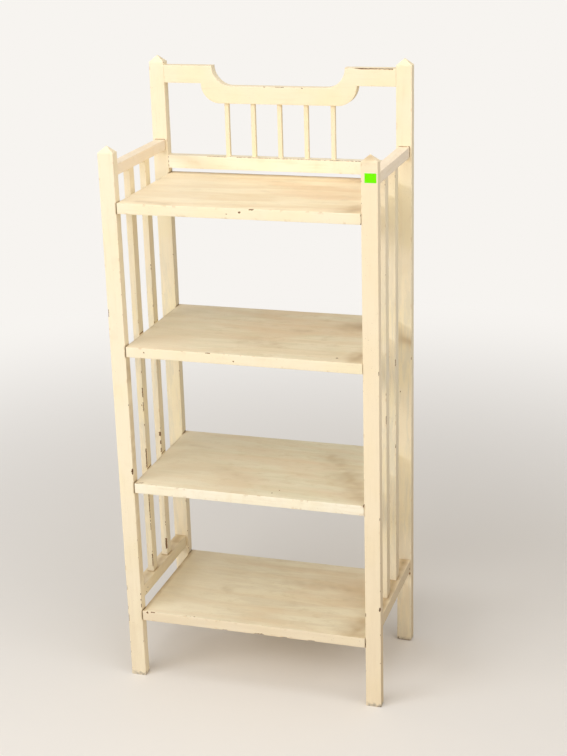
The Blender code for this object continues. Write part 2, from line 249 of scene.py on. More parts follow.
def crest(node, shoulder, thickness):
    """The crest rail, whose middle drops by a quarter-round cut at each side."""
    low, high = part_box(node)
    drop = high.z - CREST_BAND - low.z
    cove = Vector((CREST_COVE_X, low.y, high.z))
    shift = Vector((CREST_STEP, 0, -CREST_BAND))
    upright = 0.9 * CREST_BAND
    bm = bmesh.new()
    first = bmesh.ops.create_vert(bm, co=cove + Vector((drop, 0, 0)))["vert"]
    bmesh.ops.spin(bm, geom=first, cent=cove, axis=(0, 1, 0), angle=math.pi / 2,
                   steps=CREST_ARC_STEPS, use_merge=False, use_duplicate=False)
    swept = bmesh.ops.extrude_edge_only(bm, edges=list(bm.edges))
    bmesh.ops.translate(bm, vec=shift, verts=vertices_in(swept))
    ends = [edge for edge in bm.edges if edge.is_boundary and abs(run_of(edge).z) > upright]
    inner, outer = sorted(ends, key=lambda edge: edge.verts[0].co.x + edge.verts[1].co.x)
    for edge, reach in ((outer, shoulder), (inner, 0.0)):
        for vert in vertices_in(bmesh.ops.extrude_edge_only(bm, edges=[edge])):
            vert.co.x = reach
    across = [edge for edge in bm.edges if abs(run_of(edge).z) > upright]
    bmesh.ops.subdivide_edges(bm, edges=across, cuts=CREST_BAND_CUTS)
    set_out(bm, POST_CELL, (0,))
    bmesh.ops.mirror(bm, geom=every_part(bm), axis="X", merge_dist=TINY,
                     matrix=Matrix.Identity(4))
    bmesh.ops.remove_doubles(bm, verts=bm.verts, dist=TINY)
    drawn = bmesh.ops.extrude_face_region(bm, geom=list(bm.faces), use_keep_orig=True)
    bmesh.ops.translate(bm, vec=(0, thickness, 0), verts=vertices_in(drawn))
    bmesh.ops.recalc_face_normals(bm, faces=bm.faces)
    corners = []
    for edge in bm.edges:
        through = abs(run_of(edge).y) > 0.5 * edge.calc_length()
        at_end = all(abs(vert.co.x) > shoulder - TINY for vert in edge.verts)
        if edge.calc_face_angle(0) > SHARP_CORNER and not through and not at_end:
            corners.append(edge)
    ease(bm, corners, EASE)
    set_out(bm, POST_CELL, (1,))
    return bm


# Wear

def distance_to(point, start, end):
    """How far a point lies from a short line."""
    if (end - start).length < TINY:
        return (point - start).length
    nearest, share = geometry.intersect_point_line(point, start, end)
    if share < 0:
        nearest = start
    if share > 1:
        nearest = end
    return (point - nearest).length


def refine(bm, start, end, reach):
    """Cuts smaller cells round a mark, so that its shape shows in the wood."""
    centre = (start + end) / 2
    farthest = (end - start).length / 2 + reach + MARK_MARGIN
    for _ in range(2):
        edges = []
        for edge in bm.edges:
            middle = (edge.verts[0].co + edge.verts[1].co) / 2
            if (middle - centre).length > farthest:
                continue
            length = edge.calc_length()
            if length > FINEST_CELL and distance_to(middle, start, end) < reach + 0.6 * length:
                edges.append(edge)
        if edges:
            bmesh.ops.subdivide_edges(bm, edges=edges, cuts=1, use_grid_fill=True)


def knock(bm, start, end, reach, depth):
    """Knocks paint and a little wood away along a short line."""
    start, end = Vector(start), Vector(end)
    refine(bm, start, end, reach)
    bm.normal_update()
    bare = bm.verts.layers.float["bare"]
    spread = KNOCK_SPREAD * reach
    close = [vert for vert in bm.verts if distance_to(vert.co, start, end) < spread]
    inward = Vector((0, 0, 0))
    for vert in close:
        inward -= vert.normal
    inward.normalize()
    for vert in close:
        share = 1 - distance_to(vert.co, start, end) / reach
        share = share + KNOCK_RAGGED * noise.noise(vert.co * KNOCK_SCALE)
        share = min(1.0, max(0.0, KNOCK_STEEPNESS * share))
        vert[bare] = max(vert[bare], share)
        vert.co += inward * depth * share


def dimple(bm, centre, radius, depth):
    """The shallow hollow that is left over a set nail once it is filled and painted."""
    centre = Vector(centre)
    spread = DIMPLE_SPREAD * radius
    refine(bm, centre, centre, spread)
    bm.normal_update()
    close = [vert for vert in bm.verts if (vert.co - centre).length < spread]
    for vert in close:
        share = 1 - ((vert.co - centre).length / spread) ** 4
        vert.co -= vert.normal * depth * max(0.0, share)


def nicks(bm, start, end, count, largest, seed):
    """Scatters small knocks along an arris, as years of use do."""
    chance = random.Random(seed)
    start, end = Vector(start), Vector(end)
    along = (end - start).normalized()
    for _ in range(count):
        place = start.lerp(end, chance.random())
        reach = largest * (0.45 + 0.55 * chance.random())
        length = reach * NICK_LENGTH * chance.random() ** 2
        knock(bm, place, place + along * length, reach, NICK_DEPTH * reach)


def stain_and_shade(bm, start, end, reach, strength, facing):
    """Darkens the paint round a short line, on the faces that look one way: rubbed-in grime, or painted
    shade.
    """
    start, end = Vector(start), Vector(end)
    bm.normal_update()
    grime_and_shade = bm.verts.layers.float["grime_and_shade"]
    for vert in bm.verts:
        share = 1 - distance_to(vert.co, start, end) / reach
        if share > 0 and vert.normal.dot(facing) > STAIN_FACING:
            share = share * (1 + 0.5 * noise.noise(vert.co * 60))
            vert[grime_and_shade] = max(vert[grime_and_shade], min(1.0, strength * share))


def joint_grime(bm, neighbours, reach, strength):
    """Lays a dark line on this piece where it meets its neighbours."""
    grime_and_shade = bm.verts.layers.float["grime_and_shade"]
    boxes = [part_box(node) for node in neighbours]
    for vert in bm.verts:
        for low, high in boxes:
            gap = Vector([max(low[i] - vert.co[i], 0, vert.co[i] - high[i]) for i in range(3)])
            if gap.length < reach:
                share = strength * (1 - gap.length / reach)
                share = share * (1 + 0.4 * noise.noise(vert.co * 90))
                vert[grime_and_shade] = max(vert[grime_and_shade], min(1.0, share))


def start_wear(bm):
    """Gives a piece the three maps of wear and painted shade that its finish reads."""
    bm.verts.layers.float.new("bare")
    bm.verts.layers.float.new("grime_and_shade")
    arris = bm.verts.layers.float.new("arris")
    for vert in bm.verts:
        sharpest = max(edge.calc_face_angle(0) for edge in vert.link_edges)
        vert[arris] = 1.0 if sharpest > ARRIS_ANGLE else 0.0


def weather(bm, seed):
    """Hand planing, old paint and knocks: every surface goes in by a hair, arrises by more."""
    bm.normal_update()
    arris = bm.verts.layers.float["arris"]
    offset = Vector((seed * 3.1, seed * 1.7, seed * 2.3))
    for vert in bm.verts:
        waves = noise.noise(vert.co * WAVE_SCALE + offset)
        ripple = noise.noise(vert.co * RIPPLE_SCALE + offset)
        depth = PAINT_SETBACK + PLANE_MARKS * (0.5 + 0.35 * waves + 0.25 * ripple)
        rub = max(0.0, noise.noise(vert.co * RUB_SCALE + offset) - RUB_LEAST)
        depth = depth + ARRIS_RUB * rub * vert[arris]
        vert.co -= vert.normal * depth


# Finishes

def shade(red, green, blue):
    """A colour written as 0 to 255, made linear."""
    linear = []
    for value in (red, green, blue):
        share = value / 255
        linear.append(share / 12.92 if share < 0.04045 else ((share + 0.055) / 1.055) ** 2.4)
    return (*linear, 1.0)


def put(tree, kind, settings=None, inputs=None):
    """Adds one shader node, sets it up and wires it."""
    node = tree.nodes.new("ShaderNode" + kind)
    for name, value in (settings or {}).items():
        setattr(node, name, value)
    for name, value in (inputs or {}).items():
        socket = node.inputs[name]
        if isinstance(value, bpy.types.NodeSocket):
            tree.links.new(value, socket)
        else:
            socket.default_value = value
    return node


def texture(tree, place, scale, detail, roughness=0.5, warp=0.0):
    """Cloudy noise, from 0 to 1."""
    node = put(tree, "TexNoise", None, {"Vector": place, "Scale": scale, "Detail": detail,
                                        "Roughness": roughness, "Distortion": warp})
    return node.outputs["Fac"]


def between(tree, value, low, high, to_low=0.0, to_high=1.0):
    """Brings a value from one range to another and holds it there."""
    node = put(tree, "MapRange", {"interpolation_type": "SMOOTHSTEP"},
               {"Value": value, "From Min": low, "From Max": high, "To Min": to_low, "To Max": to_high})
    return node.outputs["Result"]


def reckon(tree, operation, first, second):
    """One sum on two values."""
    return put(tree, "Math", {"operation": operation}, {0: first, 1: second}).outputs[0]


def over(tree, share, under, upper):
    """Lays one colour over another by a share."""
    node = put(tree, "Mix", {"data_type": "RGBA"}, {0: share, 6: under, 7: upper})
    return node.outputs[2]


def stretched(tree, place, along, pull):
    """Object coordinates pulled out along the grain, so that noise turns into streaks."""
    scale = [1.0, 1.0, 1.0]
    scale[along] = 1 / pull
    return put(tree, "Mapping", None, {"Vector": place, "Scale": scale}).outputs["Vector"]


def wear_map(tree, name):
    """Reads one of a piece's wear maps."""
    return put(tree, "Attribute", {"attribute_name": name}).outputs["Fac"]


def start_finish(name):
    """A new material with its shader, output and object coordinates."""
    material = bpy.data.materials.new(name)
    material.use_nodes = True
    tree = material.node_tree
    tree.nodes.clear()
    output = put(tree, "OutputMaterial")
    shader = put(tree, "BsdfPrincipled")
    tree.links.new(shader.outputs["BSDF"], output.inputs["Surface"])
    place = put(tree, "TexCoord").outputs["Object"]
    return material, tree, shader, place


def old_paint(name, along, film=None, creams=None, smeared=False):
    """Old chalky cream paint, brushed along the wood. A film is the look of a shelf's top side."""
    material, tree, shader, place = start_finish(name)
    cream, yellowed = creams or (CREAM, CREAM_YELLOWED)

    # Yellowing and brush strokes
    cloud = texture(tree, place, 9, 3)
    patches = texture(tree, place, 38, 4)
    strokes = texture(tree, stretched(tree, place, along, 14), 210, 4, 0.6)
    broad = texture(tree, stretched(tree, place, along, 9), 55, 3, 0.55)
    colour = over(tree, between(tree, cloud, 0.38, 0.66), cream, yellowed)
    colour = over(tree, between(tree, patches, 0.52, 0.75, 0.0, 0.35), colour, CREAM_DULL)
    colour = over(tree, between(tree, strokes, 0.5, 0.76, 0.0, 0.38), colour, CREAM_STREAK)

    # Grey smears below the top, tan darkening towards the bottom, and painted shade low on the outer
    # right side
    spot = put(tree, "SeparateXYZ", None, {0: place}).outputs
    height = spot["Z"]
    if smeared:
        smears = texture(tree, stretched(tree, place, along, 8), 84, 6, 0.7, 0.4)
        smears = between(tree, smears, 0.43, 0.61)
        smears = reckon(tree, "MULTIPLY", smears, between(tree, height, 0.95, 0.70, 0.0, 0.62))
        colour = over(tree, smears, colour, GREY_SMEAR)
    # Darker towards the bottom: a tan laid over the lower part of each piece
    low_tan_darkening = between(tree, height, 0.55, 0.02)
    low_tan_darkening = reckon(tree, "MULTIPLY", low_tan_darkening, between(tree, broad, 0.3, 0.7, 0.2, 0.5))
    colour = over(tree, low_tan_darkening, colour, LOW_DOWN_TAN)
    normal = put(tree, "NewGeometry").outputs["Normal"]
    facing = put(tree, "SeparateXYZ", None, {0: normal}).outputs
    # Painted shade: the outer right faces darken with tan towards the bottom, where less light reaches
    # them
    outer_side = between(tree, facing["X"], 0.6, 0.9)
    outer_side = reckon(tree, "MULTIPLY", outer_side, between(tree, spot["X"], 0.236, 0.250))
    outer_side_painted_shade = reckon(tree, "MULTIPLY", outer_side, between(tree, height, 0.74, 0.12, 0.0, 0.66))
    colour = over(tree, outer_side_painted_shade, colour, TAN_GRIME_AND_SHADE)

    # The film or the dust on faces that look up
    upward = between(tree, facing["Z"], 0.6, 0.9)
    if film:
        colour = over(tree, upward, colour, shelf_film(tree, place, film))
    else:
        dusty = reckon(tree, "MULTIPLY", upward, between(tree, broad, 0.2, 0.7, 0.05, 0.28))
        colour = over(tree, dusty, colour, TOP_DUST)

    # Specks, rubbed arrises and the map of grime and painted shade, greyer at the very floor
    specks = texture(tree, place, 460, 2)
    speck_field = texture(tree, place, 17, 2)
    speckle = between(tree, specks, 0.66, 0.76)
    speckle = reckon(tree, "MULTIPLY", speckle, between(tree, speck_field, 0.42, 0.64, 0.0, 0.4))
    colour = over(tree, speckle, colour, SPECK)
    arrises = wear_map(tree, "arris")
    rub_field = texture(tree, place, 85, 3)
    rubbed = reckon(tree, "MULTIPLY", arrises, between(tree, rub_field, 0.60, 0.70, 0.0, 0.40))
    colour = over(tree, rubbed, colour, UNDERCOAT)
    grime_and_shade = wear_map(tree, "grime_and_shade")
    low_down = between(tree, height, 0.014, 0.005)
    tan_grime_and_shade = over(tree, low_down, TAN_GRIME_AND_SHADE, MOP_GREY)
    colour = over(tree, between(tree, grime_and_shade, 0.0, 0.55, 0.0, 0.85), colour, tan_grime_and_shade)
    dark_grime = over(tree, low_down, DARK_GRIME, FLOOR_GREY)
    colour = over(tree, between(tree, grime_and_shade, 0.5, 1.0, 0.0, 0.9), colour, dark_grime)

    # Paint knocked away, first to the undercoat and then to the wood
    bare = reckon(tree, "ADD", wear_map(tree, "bare"), between(tree, specks, 0.3, 0.7, -0.2, 0.2))
    colour = over(tree, between(tree, bare, 0.22, 0.40), colour, UNDERCOAT)
    fibres = texture(tree, stretched(tree, place, along, 10), 420, 3)
    bare_wood, dark_wood = (PALE_WOOD, PALE_WOOD_DARK) if smeared else (BARE_WOOD, BARE_WOOD_DARK)
    wood = over(tree, between(tree, fibres, 0.35, 0.7), bare_wood, dark_wood)
    gone = between(tree, bare, 0.45, 0.62)
    colour = over(tree, gone, colour, wood)
    tree.links.new(colour, shader.inputs["Base Color"])

    # Chalky sheen, and the relief of strokes and lost paint
    chalk = between(tree, patches, 0.3, 0.7, 0.48, 0.66)
    roughness = reckon(tree, "ADD", chalk, reckon(tree, "MULTIPLY", gone, 0.25))
    tree.links.new(roughness, shader.inputs["Roughness"])
    shader.inputs["Specular IOR Level"].default_value = 0.35
    relief = reckon(tree, "MULTIPLY", strokes, 0.55)
    relief = reckon(tree, "ADD", relief, reckon(tree, "MULTIPLY", patches, 0.5))
    relief = reckon(tree, "SUBTRACT", relief, reckon(tree, "MULTIPLY", gone, 1.2))
    bump = put(tree, "Bump", None, {"Strength": 0.35, "Distance": 0.0006, "Height": relief})
    tree.links.new(bump.outputs["Normal"], shader.inputs["Normal"])
    return material


def shelf_film(tree, place, film):
    """The rubbed film on a shelf's top side: thin streaks, tan patches, brown ends, and painted light
    towards the left end.
    """
    base, streak, patch, shift, grain, worn = film
    offset = (shift, shift * 0.7, shift * 0.4)
    moved = put(tree, "Mapping", None, {"Vector": place, "Location": offset}).outputs["Vector"]
    fine = texture(tree, stretched(tree, moved, 0, 9), 330, 5, 0.7)
    flames = texture(tree, stretched(tree, moved, 0, 6), 34, 5, 0.62, 1.4)
    cloudy = texture(tree, stretched(tree, moved, 0, 2.2), 9, 3, 0.5, 0.3)
    blotches = texture(tree, stretched(tree, moved, 0, 1.6), 60, 5, 0.6)
    colour = over(tree, between(tree, flames, 0.38, 0.64), base, streak)
    colour = over(tree, between(tree, cloudy, 0.48, 0.68, 0.0, 0.75), colour, patch)
    colour = over(tree, between(tree, blotches, 0.52, 0.72, 0.0, worn), colour, FILM_BLOTCH)
    waves = put(tree, "TexWave", {"wave_type": "BANDS", "bands_direction": "Y"},
                {"Vector": stretched(tree, moved, 0, 4), "Scale": 5, "Distortion": 14,
                 "Detail": 3, "Detail Scale": 1.1})
    colour = over(tree, between(tree, waves.outputs["Fac"], 0.45, 0.95, 0.0, grain), colour, FILM_GRAIN)
    colour = over(tree, between(tree, fine, 0.52, 0.78, 0.0, worn), colour, FILM_STREAK)
    # Painted light: the film grows paler towards the left end
    across = put(tree, "SeparateXYZ", None, {0: place}).outputs["X"]
    colour = over(tree, between(tree, across, 0.02, -0.24, 0.0, 0.5), colour, FILM_PAINTED_LIGHT)
    return colour


# Colours of the paint with its lit and shaded copies for painted light and shade, the dirt, the wood,
# the steel, the paper and the studio
CREAM = shade(249, 235, 205)
CREAM_YELLOWED = shade(248, 234, 198)
WARM_CREAM = shade(248, 231, 199)
WARM_YELLOWED = shade(247, 229, 194)
PAINTED_LIGHT_CREAM = shade(252, 243, 220)
PAINTED_LIGHT_YELLOWED = shade(251, 241, 213)
PEACH_PAINTED_LIGHT_CREAM = shade(255, 240, 217)
PEACH_PAINTED_LIGHT_YELLOWED = shade(254, 237, 210)
PAINTED_SHADE_CREAM = shade(243, 228, 200)
PAINTED_SHADE_YELLOWED = shade(242, 226, 194)
GREY_SMEAR = shade(226, 218, 196)
CREAM_DULL = shade(240, 224, 192)
CREAM_STREAK = shade(238, 220, 186)
LOW_DOWN_TAN = shade(222, 202, 170)
TOP_DUST = shade(214, 190, 156)
SPECK = shade(168, 138, 100)
UNDERCOAT = shade(206, 170, 122)
TAN_GRIME_AND_SHADE = shade(190, 164, 124)
DARK_GRIME = shade(84, 64, 44)
FLOOR_GREY = shade(98, 90, 80)
MOP_GREY = shade(184, 172, 152)
BARE_WOOD = shade(118, 82, 52)
BARE_WOOD_DARK = shade(74, 50, 32)
PALE_WOOD = shade(150, 116, 84)
PALE_WOOD_DARK = shade(100, 76, 54)
FILM_STREAK = shade(204, 182, 146)
FILM_BLOTCH = shade(216, 200, 164)
FILM_GRAIN = shade(222, 190, 142)
FILM_PAINTED_LIGHT = shade(252, 240, 214)
STEEL = shade(128, 118, 106)
RUST = shade(112, 74, 46)
STICKER_GREEN = shade(112, 243, 0)
STICKER_FADED = shade(126, 245, 4)
FLOOR_PALE = shade(238, 234, 229)
BACKGROUND = shade(247, 244, 240)

# The shelves' films: base, streak and patch colour, shift of the pattern, share of grain, share worn
PEACH_FILM = (shade(249, 233, 199), shade(244, 225, 188), shade(242, 213, 173), 0.0, 0.28, 0.28)
UPPER_FILM = (shade(240, 229, 202), shade(230, 220, 190), shade(232, 212, 180), 1.3, 0.17, 0.50)
LOWER_FILM = (shade(236, 228, 202), shade(227, 219, 190), shade(231, 214, 184), 2.9, 0.15, 0.50)
BOTTOM_FILM = (shade(238, 227, 198), shade(228, 215, 186), shade(226, 204, 170), 4.1, 0.17, 0.50)

# The paints, each brushed along one axis
upright_paint = old_paint("cream_paint_upright", 2)
warm_upright_paint = old_paint("warm_cream_paint_upright", 2, creams=(WARM_CREAM, WARM_YELLOWED))
smeared_upright_paint = old_paint("smeared_cream_paint_upright", 2, smeared=True)
crosswise_paint = old_paint("cream_paint_front_to_back", 1)
# Painted light: a lighter, pinker cream for the top rails, for the light that falls on them
peach_painted_light_crosswise_paint = old_paint("peach_cream_paint_front_to_back", 1,
                                  creams=(PEACH_PAINTED_LIGHT_CREAM, PEACH_PAINTED_LIGHT_YELLOWED))
lengthwise_paint = old_paint("cream_paint_side_to_side", 0)
# Painted light: a paler cream for the strongly lit back rail
painted_light_lengthwise_paint = old_paint("painted_light_cream_paint_side_to_side", 0,
                                  creams=(PAINTED_LIGHT_CREAM, PAINTED_LIGHT_YELLOWED))
shelf_paints = {
    "top_shelf": old_paint("shelf_paint_top", 0, PEACH_FILM),
    "upper_shelf": old_paint("shelf_paint_upper", 0, UPPER_FILM),
    # Painted light: the lower shelf takes the paler cream
    "lower_shelf": old_paint("shelf_paint_lower", 0, LOWER_FILM, (PAINTED_LIGHT_CREAM, PAINTED_LIGHT_YELLOWED)),
    # Painted shade: the bottom shelf takes a darker cream
    "bottom_shelf": old_paint("shelf_paint_bottom", 0, BOTTOM_FILM, (PAINTED_SHADE_CREAM, PAINTED_SHADE_YELLOWED)),
}


def nail_metal():
    """Dull cut steel with rust in it."""
    material, tree, shader, place = start_finish("old_nail_steel")
    rust = between(tree, texture(tree, place, 900, 4), 0.4, 0.65)
    tree.links.new(over(tree, rust, STEEL, RUST), shader.inputs["Base Color"])
    tree.links.new(between(tree, rust, 0.0, 1.0, 0.42, 0.8), shader.inputs["Roughness"])
    shader.inputs["Metallic"].default_value = 0.8
    return material


def sticker_paper():
    """Bright green paper, a little uneven."""
    material, tree, shader, place = start_finish("green_paper")
    pulp = texture(tree, place, 700, 3)
    colour = over(tree, between(tree, pulp, 0.4, 0.7), STICKER_GREEN, STICKER_FADED)
    tree.links.new(colour, shader.inputs["Base Color"])
    shader.inputs["Roughness"].default_value = 0.85
    shader.inputs["Specular IOR Level"].default_value = 0.1
    bump = put(tree, "Bump", None, {"Strength": 0.2, "Distance": 0.0002, "Height": pulp})
    tree.links.new(bump.outputs["Normal"], shader.inputs["Normal"])
    return material


def new_object(name, data):
    """Puts a new object into the scene."""
    thing = bpy.data.objects.new(name, data)
    bpy.context.scene.collection.objects.link(thing)
    return thing


def make_piece(name, bm, material, node=None):
    """Turns a finished shape, its faces turned out, into a piece that rides on the unit."""
    bmesh.ops.recalc_face_normals(bm, faces=bm.faces)
    if bm.calc_volume(signed=True) < 0:
        bmesh.ops.reverse_faces(bm, faces=bm.faces)
    mesh = bpy.data.meshes.new(name)
    bm.to_mesh(mesh)
    bm.free()
    mesh.shade_smooth()
    mesh.set_sharp_from_angle(angle=SMOOTH_ANGLE)
    mesh.materials.append(material)
    piece = new_object(name, mesh)
    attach(piece, "root")
    if node:
        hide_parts(node)


# Where the real unit is knocked: start, end, reach and depth of each mark
KNOCKS = {
    "front_left_post": [
        ((-0.263, -0.1465, 0.769), (-0.263, -0.1465, 0.782), 0.0019, 0.0011),
        ((-0.263, -0.1465, 0.193), (-0.263, -0.1465, 0.2), 0.0017, 0.0010),
        ((-0.263, -0.1465, 0.122), (-0.263, -0.1465, 0.136), 0.0018, 0.0011),
        ((-0.2325, -0.1465, 0.449), (-0.2325, -0.1465, 0.456), 0.0030, 0.0014),
        ((-0.2325, -0.1465, 0.157), (-0.2325, -0.1465, 0.163), 0.0014, 0.0008),
        ((-0.2325, -0.1465, 0.172), (-0.2325, -0.1465, 0.174), 0.0013, 0.0006),
        ((-0.263, -0.1465, 0.15), (-0.263, -0.1465, 0.155), 0.0013, 0.0007),
        ((-0.2325, -0.1465, 0.0), (-0.2325, -0.1265, 0.0), 0.0013, 0.0008),
    ],
    "front_right_post": [
        ((0.2625, -0.1465, 0.212), (0.2625, -0.1465, 0.216), 0.0026, 0.0014),
        ((0.2325, -0.1465, 0.196), (0.2325, -0.1465, 0.202), 0.0014, 0.0008),
        ((0.256, -0.1465, 0.0), (0.2625, -0.1465, 0.0), 0.0010, 0.0006),
        ((0.263, -0.1465, 0.69), (0.263, -0.1465, 0.696), 0.0010, 0.0005),
        ((0.263, -0.1465, 0.402), (0.263, -0.1465, 0.405), 0.0011, 0.0005),
    ],
    "back_left_post": [
        ((-0.24, 0.1337, 1.2118), (-0.2408, 0.1337, 1.213), 0.0014, 0.0008),
        ((-0.2325, 0.1265, 1.2065), (-0.2325, 0.129, 1.207), 0.0009, 0.0004),
        ((-0.2325, 0.144, 0.7102), (-0.2325, 0.1465, 0.7102), 0.0024, 0.0007),
        ((-0.2325, 0.14, 0.429), (-0.2325, 0.1465, 0.429), 0.0018, 0.0006),
        ((-0.2325, 0.144, 0.1495), (-0.2325, 0.1465, 0.1495), 0.0028, 0.0008),
        ((-0.258, 0.1265, 1.0553), (-0.2375, 0.1265, 1.0553), 0.0004, 0.0002),
    ],
    "back_right_post": [
        ((0.234, 0.1265, 0.0), (0.2625, 0.1265, 0.0), 0.0018, 0.0013),
        ((0.263, 0.1265, 0.0), (0.263, 0.14, 0.0), 0.0024, 0.0018),
        ((0.233, 0.1265, 0.0), (0.233, 0.1265, 0.003), 0.0024, 0.0018),
        ((0.2592, 0.1265, 0.1575), (0.2594, 0.1265, 0.159), 0.0021, 0.0009),
        ((0.263, 0.1265, 0.63), (0.263, 0.1265, 0.634), 0.0012, 0.0005),
        ((0.24, 0.1265, 0.56), (0.24, 0.1265, 0.561), 0.0010, 0.0003),
        ((0.2588, 0.1265, 1.036), (0.2588, 0.1265, 1.055), 0.0005, 0.0002),
        ((0.238, 0.1265, 1.0553), (0.2585, 0.1265, 1.0553), 0.00045, 0.0002),
    ],
    "left_front_slat": [
        ((-0.2415, -0.053, 0.574), (-0.2415, -0.053, 0.592), 0.0016, 0.0008),
        ((-0.2415, -0.053, 0.545), (-0.2415, -0.053, 0.562), 0.0014, 0.0007),
        ((-0.2455, -0.053, 0.556), (-0.2455, -0.053, 0.557), 0.0014, 0.0005),
        ((-0.2415, -0.053, 0.424), (-0.2415, -0.053, 0.462), 0.0019, 0.0010),
        ((-0.2415, -0.053, 0.312), (-0.2415, -0.053, 0.374), 0.0014, 0.0007),
        ((-0.2415, -0.053, 0.285), (-0.2415, -0.053, 0.298), 0.0012, 0.0006),
        ((-0.2415, -0.053, 0.203), (-0.2415, -0.053, 0.229), 0.0017, 0.0009),
        ((-0.2415, -0.053, 0.69), (-0.2415, -0.053, 0.698), 0.0013, 0.0006),
        ((-0.2415, -0.05, 0.704), (-0.2415, -0.032, 0.7046), 0.0013, 0.0004),
        ((-0.2415, -0.052, 0.4195), (-0.2415, -0.034, 0.4205), 0.0013, 0.0004),
    ],
    "left_rear_slat": [
        ((-0.2425, 0.0265, 0.462), (-0.2425, 0.0265, 0.467), 0.0026, 0.0010),
        ((-0.2415, 0.0265, 0.444), (-0.2415, 0.0265, 0.449), 0.0021, 0.0009),
        ((-0.2415, 0.0265, 0.426), (-0.2415, 0.0265, 0.433), 0.0018, 0.0008),
        ((-0.242, 0.0265, 0.207), (-0.242, 0.0265, 0.227), 0.0028, 0.0013),
        ((-0.2415, 0.0265, 0.64), (-0.2415, 0.0265, 0.655), 0.0010, 0.0005),
        ((-0.2415, 0.0285, 0.7045), (-0.2415, 0.03, 0.7045), 0.0013, 0.0004),
        ((-0.2415, 0.044, 0.705), (-0.2415, 0.045, 0.705), 0.0010, 0.0003),
        ((-0.2415, 0.0275, 0.4205), (-0.2415, 0.044, 0.4215), 0.0011, 0.0004),
    ],
    "right_rear_slat": [
        ((0.254, 0.0265, 0.65), (0.254, 0.0265, 0.662), 0.0012, 0.0006),
        ((0.254, 0.0265, 0.48), (0.254, 0.0265, 0.486), 0.0011, 0.0005),
    ],
    "right_front_slat": [
        ((0.254, -0.053, 0.56), (0.254, -0.053, 0.575), 0.0010, 0.0005),
        ((0.2415, -0.053, 0.43), (0.2415, -0.053, 0.436), 0.0012, 0.0006),
    ],
    "crest_rail": [
        ((-0.0285, 0.1268, 1.1626), (-0.0258, 0.1268, 1.1626), 0.0009, 0.0004),
        ((0.048, 0.1266, 1.1616), (0.0492, 0.1266, 1.1612), 0.0009, 0.0004),
        ((-0.005, 0.1265, 1.163), (0.012, 0.1265, 1.163), 0.0008, 0.0003),
        ((0.15, 0.1265, 1.2015), (0.23, 0.1265, 1.2015), 0.0006, 0.0002),
    ],
    "back_rail": [
        ((-0.2325, 0.1265, 1.0015), (-0.2325, 0.1265, 1.0045), 0.0010, 0.0006),
        ((-0.2325, 0.1265, 1.0105), (-0.2325, 0.1265, 1.014), 0.0011, 0.0006),
        ((-0.2325, 0.1265, 1.0195), (-0.2325, 0.1265, 1.0215), 0.0010, 0.0006),
        ((-0.15, 0.1265, 1.0245), (-0.11, 0.1265, 1.0245), 0.0007, 0.0003),
        ((-0.09, 0.1265, 1.0245), (0.19, 0.1265, 1.0245), 0.0006, 0.0002),
    ],
    "back_spindle_5": [
        ((0.1031, 0.1323, 1.0722), (0.1031, 0.1323, 1.0728), 0.0012, 0.0004),
    ],
    "top_shelf": [
        ((0.0062, -0.1465, 0.9803), (0.0078, -0.1465, 0.9812), 0.0018, 0.0009),
        ((0.0262, -0.1465, 0.9872), (0.0328, -0.1465, 0.9872), 0.0018, 0.0010),
        ((-0.018, -0.1465, 0.9765), (-0.0175, -0.1465, 0.9768), 0.0011, 0.0004),
        ((0.2322, -0.1465, 0.984), (0.2322, -0.1465, 0.986), 0.0009, 0.0005),
        ((0.2322, -0.1465, 0.9682), (0.2322, -0.1465, 0.9696), 0.0009, 0.0005),
    ],
    "upper_shelf": [
        ((0.1776, -0.123, 0.7095), (0.1786, -0.123, 0.7095), 0.0018, 0.0005),
        ((-0.195, -0.1465, 0.701), (-0.1945, -0.1465, 0.701), 0.0012, 0.0004),
        ((-0.016, -0.1465, 0.696), (-0.015, -0.1465, 0.696), 0.0013, 0.0004),
        ((-0.07, -0.1465, 0.7095), (-0.062, -0.1465, 0.7095), 0.0011, 0.0005),
    ],
    "lower_shelf": [
        ((-0.229, -0.144, 0.428), (-0.216, -0.1385, 0.428), 0.0013, 0.0004),
        ((0.045, -0.127, 0.428), (0.0455, -0.127, 0.428), 0.0016, 0.0004),
        ((0.056, -0.112, 0.428), (0.0565, -0.112, 0.428), 0.0013, 0.0003),
        ((0.2322, -0.1465, 0.427), (0.2322, -0.138, 0.428), 0.0022, 0.0009),
    ],
    "bottom_shelf": [
        ((-0.2215, -0.1465, 0.1462), (-0.2205, -0.1465, 0.145), 0.0020, 0.0009),
        ((-0.213, -0.1465, 0.148), (-0.205, -0.1465, 0.148), 0.0013, 0.0007),
        ((-0.138, -0.144, 0.148), (-0.137, -0.144, 0.148), 0.0009, 0.0002),
        ((-0.131, -0.143, 0.148), (-0.13, -0.143, 0.148), 0.0008, 0.0002),
        ((-0.122, -0.1434, 0.148), (-0.12, -0.143, 0.148), 0.0010, 0.0003),
        ((0.008, -0.1465, 0.1275), (0.023, -0.1465, 0.1275), 0.0022, 0.0012),
        ((0.066, -0.1465, 0.1275), (0.072, -0.1465, 0.1275), 0.0018, 0.0009),
        ((0.118, -0.1465, 0.1275), (0.129, -0.1465, 0.1275), 0.0016, 0.0009),
        ((-0.06, -0.1465, 0.1275), (-0.052, -0.1465, 0.1275), 0.0015, 0.0008),
    ],
    "right_bottom_rail": [
        ((0.2612, 0.118, 0.172), (0.2612, 0.1215, 0.173), 0.0027, 0.0012),
    ],
    "left_bottom_rail": [
        ((-0.2372, -0.098, 0.176), (-0.2372, -0.097, 0.176), 0.0015, 0.0005),
        ((-0.2372, -0.106, 0.17), (-0.2372, -0.105, 0.17), 0.0011, 0.0004),
    ],
}
